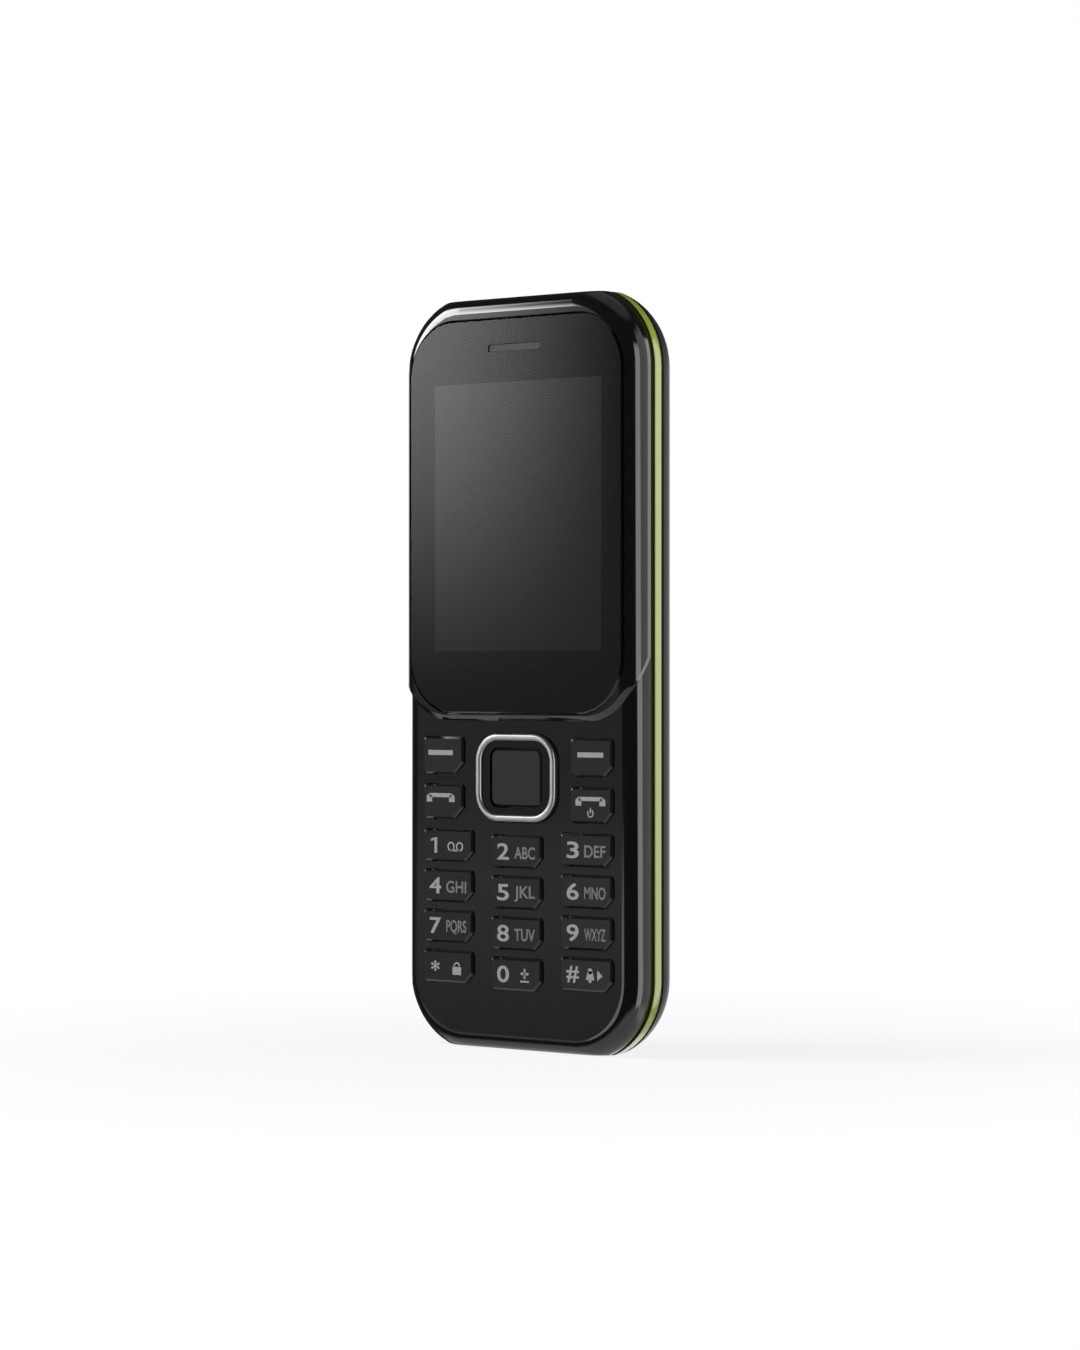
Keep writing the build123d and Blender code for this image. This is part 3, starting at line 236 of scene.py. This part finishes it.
def print_shapes(name, shapes, top, body, material):
    """Flat convex shapes, each a list of (across, up) points, printed at a height."""
    verts = []
    faces = []
    y_back = front(top - PRINT_SINK)
    y_front = front(top + PRINT_T)
    for shape in shapes:
        start = len(verts)
        count = len(shape)
        for x, up in shape:
            verts.append((x * MM, y_back, up * MM))
        for x, up in shape:
            verts.append((x * MM, y_front, up * MM))
        back = list(range(start, start + count))
        ahead = list(range(start + count, start + 2 * count))
        faces.append(back[::-1])
        faces.append(ahead)
        for i in range(count):
            j = (i + 1) % count
            faces.append((back[i], back[j], ahead[j], ahead[i]))
    return solid_piece(name, verts, faces, material, body)


def text_mesh(text, size, bold):
    """Mesh of a text in the built-in face, as (vertices, faces), flat and centred."""
    curve = bpy.data.curves.new("text", "FONT")
    curve.body = text
    curve.size = size
    curve.offset = bold
    curve.align_x = "CENTER"
    curve.align_y = "CENTER"
    curve.extrude = (PRINT_T + PRINT_SINK) / 2
    holder = bpy.data.objects.new("text", curve)
    bpy.context.scene.collection.objects.link(holder)
    bpy.context.view_layer.update()
    mesh = bpy.data.meshes.new_from_object(holder)
    bpy.data.objects.remove(holder)
    verts = [tuple(v.co) for v in mesh.vertices]
    faces = [tuple(p.vertices) for p in mesh.polygons]
    bpy.data.meshes.remove(mesh)
    return verts, faces


def print_words(name, words, top, body, material):
    """Several texts in one piece. Each is (text, across, up, size, width, bold)."""
    verts = []
    faces = []
    middle = top + (PRINT_T - PRINT_SINK) / 2
    for text, x, up, size, width, bold in words:
        start = len(verts)
        found, polygons = text_mesh(text, size, bold)
        low = min(v[1] for v in found)
        high = max(v[1] for v in found)
        left = min(v[0] for v in found)
        right = max(v[0] for v in found)
        stretch = width / (right - left)
        for vx, vy, vz in found:
            across = x + (vx - (left + right) / 2) * stretch
            above = up + vy - (low + high) / 2
            verts.append((across * MM, front(middle + vz), above * MM))
        faces.extend(tuple(start + i for i in polygon) for polygon in polygons)
    return solid_piece(name, verts, faces, material, body)


def bar(x, up, width, height):
    """Upright rectangle round a point."""
    w = width / 2
    h = height / 2
    return [(x - w, up - h), (x + w, up - h), (x + w, up + h), (x - w, up + h)]


ROUND_SIDES = 16


def disc(x, up, radius):
    """Round shape of ROUND_SIDES sides."""
    turns = [2 * math.pi * i / ROUND_SIDES for i in range(ROUND_SIDES)]
    return [(x + radius * math.cos(t), up + radius * math.sin(t)) for t in turns]


def ring(x, up, outer, inner, start=0, end=ROUND_SIDES):
    """Ring, or the part of it from one side's number to another, as flat four-sided shapes."""
    shapes = []
    for i in range(start, end):
        a, b = (2 * math.pi * k / ROUND_SIDES for k in (i, i + 1))
        shapes.append([(x + inner * math.cos(a), up + inner * math.sin(a)),
                       (x + outer * math.cos(a), up + outer * math.sin(a)),
                       (x + outer * math.cos(b), up + outer * math.sin(b)),
                       (x + inner * math.cos(b), up + inner * math.sin(b))])
    return shapes


def legend(node_name, shapes, part="legend"):
    """Signs in the print colour on a key."""
    return print_shapes(f"{part}_{node_name}", shapes, KEY_TOP, node_name, print_grey)


# Digits and letters: columns, rows, and their sizes, widths and places on the key
COLUMN_X = (-13.45, 0.0, 13.45)
ROW_UP = (30.3, 24.2, 18.1, 12.0)
MIDDLE_DROP = 0.6
DIGITS = (
    (("key_1", "1", ""), ("key_2", "2", "ABC"), ("key_3", "3", "DEF")),
    (("key_4", "4", "GHI"), ("key_5", "5", "JKL"), ("key_6", "6", "MNO")),
    (("key_7", "7", "PQRS"), ("key_8", "8", "TUV"), ("key_9", "9", "WXYZ")),
    (("key_star", "*", ""), ("key_0", "0", ""), ("key_hash", "#", "")),
)
DIGIT_SIZE = 3.4
DIGIT_W = 2.3
OTHER_W = {"*": 1.7, "#": 2.4}
DIGIT_BOLD = 0.05
DIGIT_LEFT = 2.4
LETTERS_SIZE = 2.5
LETTERS_W = 4.0
LETTERS_BOLD = 0.04
LETTERS_RIGHT = 1.8
LETTERS_DROP = 0.15
# The drawn 1: its stem, and its flag as points from the stem's middle
ONE_LEFT = 2.3
ONE_STEM = (0.55, 2.35)
ONE_FLAG = ((-1.0, 0.55), (-0.2, 0.8), (-0.2, 1.18), (-1.0, 0.9))
for row, up in zip(DIGITS, ROW_UP):
    for column, (node_name, digit, letters) in enumerate(row):
        x = COLUMN_X[column]
        height = up - MIDDLE_DROP if column == 1 else up
        if digit == "1":
            one_x = x - ONE_LEFT
            flag = [(one_x + across, height + rise) for across, rise in ONE_FLAG]
            legend(node_name, [bar(one_x, height, *ONE_STEM), flag])
            continue
        if letters:
            print_words("letters_" + node_name,
                        [(letters, x + LETTERS_RIGHT, height - LETTERS_DROP, LETTERS_SIZE,
                          LETTERS_W, LETTERS_BOLD)],
                        KEY_TOP, node_name, letter_grey)
        print_words("legend_" + node_name,
                    [(digit, x - DIGIT_LEFT, height, DIGIT_SIZE, OTHER_W.get(digit, DIGIT_W),
                      DIGIT_BOLD)],
                    KEY_TOP, node_name, print_grey)

# Dashes on the soft keys, handsets on the call and end keys, and a power sign on the end key
SOFT_LEFT_X = -14.8
SOFT_RIGHT_X = 14.4
DASH_UP = 44.3
DASH = (4.9, 0.75)
HANDSET_UP = 37.5
HANDSET_GRIP = (4.4, 0.6)
HANDSET_GRIP_RISE = 0.35
# One end of the handset, as points from the middle: across, away from it, and up
HANDSET_END = ((2.2, 0.65), (2.8, 0.2), (2.8, -0.65), (1.7, -0.65), (1.7, 0.1))
POWER_DROP = 1.75
POWER_RING = (0.62, 0.42, 6, 19)
POWER_STEM = (0.2, 0.8)
POWER_STEM_RISE = 0.4


def handset(x, up):
    """Telephone handset lying flat, its two ends down."""
    shapes = [bar(x, up + HANDSET_GRIP_RISE, *HANDSET_GRIP)]
    for side in (-1, 1):
        end = [(x + side * across, up + rise) for across, rise in HANDSET_END]
        shapes.append(end if side < 0 else end[::-1])
    return shapes


legend("soft_key_left", [bar(SOFT_LEFT_X, DASH_UP, *DASH)])
legend("soft_key_right", [bar(SOFT_RIGHT_X, DASH_UP, *DASH)])
legend("call_key", handset(SOFT_LEFT_X, HANDSET_UP))
power_up = HANDSET_UP - POWER_DROP
legend("end_key", handset(SOFT_RIGHT_X, HANDSET_UP)
       + ring(SOFT_RIGHT_X, power_up, *POWER_RING)
       + [bar(SOFT_RIGHT_X, power_up + POWER_STEM_RISE, *POWER_STEM)])

# Small marks beside 1, star, 0 and hash. Each mark's middle is given from its key's, and its
# parts as across, up and sizes from that middle.
REEL_AT = (1.6, -0.15)
REEL_ACROSS = 0.85
REEL = (0.72, 0.48)
REEL_TAPE = (0.0, -0.6, 1.8, 0.24)
LOCK_AT = (1.9, -0.35)
LOCK_BODY = (0.0, -0.25, 1.7, 1.2)
LOCK_BOW = (0.0, 0.45, 0.65, 0.4, 0, 8)
PLUS_AT = (1.8, 0.2)
PLUS_BARS = ((0.0, 0.0, 1.5, 0.34), (0.0, 0.0, 0.34, 1.5), (0.0, -1.15, 1.7, 0.26))
BELL_AT = (0.9, 0.0)
BELL_BODY = ((-0.8, -0.7), (0.8, -0.7), (0.45, 0.6), (-0.45, 0.6))
BELL_DISCS = ((0.0, 0.6, 0.45), (0.0, -0.85, 0.28))
ARROW_AT = (2.7, 0.0)
ARROW = ((-0.45, -0.8), (0.55, 0.0), (-0.45, 0.8))


def place_of(column, row, offset):
    """Middle of a mark on a number key."""
    drop = MIDDLE_DROP if column == 1 else 0.0
    return COLUMN_X[column] + offset[0], ROW_UP[row] - drop + offset[1]


def put(shape, middle, sizes):
    """Shape made by a function, its place given from a mark's middle."""
    return shape(middle[0] + sizes[0], middle[1] + sizes[1], *sizes[2:])


def outline(points, middle):
    """Shape given by points from a mark's middle."""
    return [(middle[0] + across, middle[1] + rise) for across, rise in points]


reel = place_of(0, 0, REEL_AT)
legend("key_1", put(ring, reel, (-REEL_ACROSS, 0.0, *REEL))
       + put(ring, reel, (REEL_ACROSS, 0.0, *REEL)) + [put(bar, reel, REEL_TAPE)], "mark")
lock = place_of(0, 3, LOCK_AT)
legend("key_star", [put(bar, lock, LOCK_BODY)] + put(ring, lock, LOCK_BOW), "mark")
plus = place_of(1, 3, PLUS_AT)
legend("key_0", [put(bar, plus, sizes) for sizes in PLUS_BARS], "mark")
bell = place_of(2, 3, BELL_AT)
legend("key_hash", [outline(BELL_BODY, bell)] + [put(disc, bell, sizes) for sizes in BELL_DISCS]
       + [outline(ARROW, place_of(2, 3, ARROW_AT))], "mark")

# Display picture area and the dark border round it, bonded to the window's back
VIEW_UP = 79.7
VIEW_W = 32.4
VIEW_H = 40.2
BORDER = 2.6
print_shapes("display_area", [bar(0.0, VIEW_UP, VIEW_W, VIEW_H)], WINDOW_BACK, "housing",
             display_film)
border = [bar(0.0, VIEW_UP + side * (VIEW_H + BORDER) / 2, VIEW_W + 2 * BORDER, BORDER)
          for side in (-1, 1)]
border += [bar(side * (VIEW_W + BORDER) / 2, VIEW_UP, BORDER, VIEW_H) for side in (-1, 1)]
print_shapes("display_border", border, WINDOW_BACK, "housing", border_film)


# Camera

CAMERA_AZIMUTH = 39.8  # degrees from straight ahead
CAMERA_DISTANCE = 590.0
CAMERA_LENS = 104.8
CAMERA_SHIFT = (-0.0018, -0.0011)
CAMERA_CLIP = 10.0
LOOK_HEIGHT = 56.25


def aim(thing, place, target):
    """Put a camera or a lamp at a place, in metres, and turn it to a target."""
    thing.location = place
    heading = Vector(target) - Vector(place)
    thing.rotation_euler = heading.to_track_quat("-Z", "Y").to_euler()


azimuth = math.radians(CAMERA_AZIMUTH)
camera_data = bpy.data.cameras.new("camera")
camera_data.lens = CAMERA_LENS
camera_data.shift_x, camera_data.shift_y = CAMERA_SHIFT
camera_data.clip_start = CAMERA_CLIP * MM
camera = bpy.data.objects.new("camera", camera_data)
bpy.context.scene.collection.objects.link(camera)
reach = CAMERA_DISTANCE * MM
aim(camera, (reach * math.sin(azimuth), -reach * math.cos(azimuth), LOOK_HEIGHT * MM),
    (0.0, 0.0, LOOK_HEIGHT * MM))
bpy.context.scene.camera = camera


# Studio: the world is a ring of soft boxes, and white where the camera sees it directly.
# Bearings, heights and soft edges are in degrees.

class Graph:
    """One node tree, with short calls for its sums."""

    def __init__(self, tree):
        self.tree = tree

    def add(self, kind):
        """New node."""
        return self.tree.nodes.new(kind)

    def link(self, output, socket):
        """Lead an output into an input."""
        self.tree.links.new(output, socket)

    def math(self, operation, *values):
        """Result of a sum. Each value is a number or the output of a node."""
        node = self.add("ShaderNodeMath")
        node.operation = operation
        for socket, value in zip(node.inputs, values):
            if isinstance(value, float):
                socket.default_value = value
            else:
                self.link(value, socket)
        return node.outputs[0]

    def product(self, first, *others):
        """All the values multiplied."""
        for other in others:
            first = self.math("MULTIPLY", first, other)
        return first

    def ramp(self, value, dark, full):
        """Smooth step from 0 at one value to 1 at another, which may be the smaller."""
        node = self.add("ShaderNodeMapRange")
        node.interpolation_type = "SMOOTHSTEP"
        node.inputs["From Min"].default_value = dark
        node.inputs["From Max"].default_value = full
        self.link(value, node.inputs["Value"])
        return node.outputs["Result"]


world = bpy.data.worlds.new("studio")
bpy.context.scene.world = world
world.use_nodes = True
studio = Graph(world.node_tree)
direction = studio.add("ShaderNodeTexCoord")
parts = studio.add("ShaderNodeSeparateXYZ")
studio.link(direction.outputs["Generated"], parts.inputs[0])
ahead = studio.math("MULTIPLY", parts.outputs["Y"], -1.0)
bearing = studio.math("DEGREES", studio.math("ARCTAN2", parts.outputs["X"], ahead))
rise = studio.math("DEGREES", studio.math("ARCSINE", parts.outputs["Z"]))


def soft_box(low, high, soft, floor, ceiling, fade, strength):
    """Light between two bearings and two heights, with soft edges."""
    return studio.product(studio.ramp(bearing, low - soft, low),
                          studio.ramp(bearing, high + soft, high),
                          studio.ramp(rise, floor - fade, floor),
                          studio.ramp(rise, ceiling + fade, ceiling), strength)


# Bearings low, high and softness, heights low, high and fade, then strength
AMBIENT = 0.05
BOXES = (
    (62.0, 84.0, 5.0, -28.0, 22.0, 10.0, 4.2),
    (88.0, 136.0, 5.0, -40.0, 35.0, 15.0, 1.25),
    (141.5, 150.0, 1.5, -22.0, 22.0, 10.0, 3.5),
    (-175.0, -140.0, 10.0, -40.0, 6.0, 4.0, 1.2),
    (-135.0, -100.0, 8.0, -5.0, 6.0, 3.0, 2.4),
    (-60.0, -39.5, 3.0, -8.5, -3.0, 1.5, 0.2),
    (-60.0, -38.0, 3.0, -15.0, -10.5, 1.5, 0.6),
    (-45.0, -36.0, 3.0, -3.0, 8.0, 3.0, 0.25),
    (-36.0, -24.0, 2.0, -14.0, -4.3, 2.5, 2.4),
    (-180.0, 180.0, 0.1, -90.0, -38.0, 12.0, 1.0),
    (-180.0, 180.0, 0.1, 68.0, 90.0, 15.0, 0.4),
)
# The soft glow that the window reflects. Each pair runs from dark to full.
GLOW_NEAR = (-38.4, -42.2)
GLOW_FAR = (-62.0, -58.0)
GLOW_LOWER = (-0.8, 6.5)
GLOW_UPPER = (13.0, 9.0)
GLOW_STRENGTH = 4.1
# The bright band along the top shoulder, in such pairs too. Its right edge leans with the
# height.
SHOULDER_LEAN = 0.45
SHOULDER_RIGHT = (-33.0, -36.5)
SHOULDER_LEFT = (-74.0, -66.0)
SHOULDER_LOWER = (8.0, 11.0)
SHOULDER_UPPER = (35.0, 30.0)
SHOULDER_STRENGTH = 16.0

light = AMBIENT
for box in BOXES:
    light = studio.math("ADD", light, soft_box(*box))
glow = studio.product(studio.ramp(bearing, *GLOW_NEAR), studio.ramp(rise, *GLOW_LOWER),
                      studio.ramp(bearing, *GLOW_FAR), studio.ramp(rise, *GLOW_UPPER),
                      GLOW_STRENGTH)
light = studio.math("ADD", light, glow)
leaning = studio.math("ADD", bearing, studio.math("MULTIPLY", rise, SHOULDER_LEAN))
shoulder = studio.product(studio.ramp(leaning, *SHOULDER_RIGHT),
                          studio.ramp(bearing, *SHOULDER_LEFT),
                          studio.ramp(rise, *SHOULDER_LOWER),
                          studio.ramp(rise, *SHOULDER_UPPER), SHOULDER_STRENGTH)
light = studio.math("ADD", light, shoulder)
seen = studio.add("ShaderNodeLightPath").outputs["Is Camera Ray"]
unseen_light = studio.math("MULTIPLY", light, studio.math("SUBTRACT", 1.0, seen))
background = world.node_tree.nodes["Background"]
background.inputs["Color"].default_value = (1.0, 1.0, 1.0, 1.0)
studio.link(studio.math("ADD", unseen_light, seen), background.inputs["Strength"])

# One lamp for the shadow and for the dull pieces. It shows in no reflection. In metres and watts
LAMP_PLACE = (-0.35, -0.3, 0.6)
LAMP_TARGET = (0.0, 0.0, 0.05)
LAMP_SIDE = 0.3
LAMP_POWER = 1.5
lamp_data = bpy.data.lights.new("key_lamp", "AREA")
lamp_data.shape = "RECTANGLE"
lamp_data.size = LAMP_SIDE
lamp_data.size_y = LAMP_SIDE
lamp_data.energy = LAMP_POWER
key_lamp = bpy.data.objects.new("key_lamp", lamp_data)
bpy.context.scene.collection.objects.link(key_lamp)
aim(key_lamp, LAMP_PLACE, LAMP_TARGET)
key_lamp.visible_glossy = False


# Floor: to the camera it is mostly a white glow, more so away from the object, so that only
# the object's shadow shows. Radii are in metres.

FLOOR_R = 0.2
FLOOR_SIDES = 96
FLOOR_SHADE = (0.8, 0.8, 0.8)
FLOOR_ROUGH = 0.9
GLOW_SHARE = 0.84
GLOW_SHARE_ADDED = 0.16
GLOW_RADII = (0.03, 0.13)
floor_material, floor_tree, bsdf = shader("floor_white")
bsdf.inputs["Base Color"].default_value = (*FLOOR_SHADE, 1.0)
bsdf.inputs["Roughness"].default_value = FLOOR_ROUGH
bsdf.inputs["Specular IOR Level"].default_value = 0.0
ground = Graph(floor_tree)
mixer = ground.add("ShaderNodeMixShader")
length = ground.add("ShaderNodeVectorMath")
length.operation = "LENGTH"
ground.link(ground.add("ShaderNodeTexCoord").outputs["Object"], length.inputs[0])
far = ground.ramp(length.outputs["Value"], *GLOW_RADII)
share = ground.math("ADD", ground.math("MULTIPLY", far, GLOW_SHARE_ADDED), GLOW_SHARE)
seen = ground.add("ShaderNodeLightPath").outputs["Is Camera Ray"]
ground.link(ground.math("MULTIPLY", share, seen), mixer.inputs[0])
ground.link(bsdf.outputs[0], mixer.inputs[1])
ground.link(ground.add("ShaderNodeEmission").outputs[0], mixer.inputs[2])
ground.link(mixer.outputs[0], floor_tree.nodes["Material Output"].inputs["Surface"])

floor_mesh = bpy.data.meshes.new("floor")
turns = [2 * math.pi * i / FLOOR_SIDES for i in range(FLOOR_SIDES)]
rim = [(FLOOR_R * math.cos(t), FLOOR_R * math.sin(t), 0.0) for t in turns]
floor_mesh.from_pydata(rim, [], [tuple(range(FLOOR_SIDES))])
floor_mesh.materials.append(floor_material)
floor = bpy.data.objects.new("floor", floor_mesh)
bpy.context.scene.collection.objects.link(floor)
floor.visible_glossy = False

bpy.context.scene.view_settings.view_transform = "Standard"
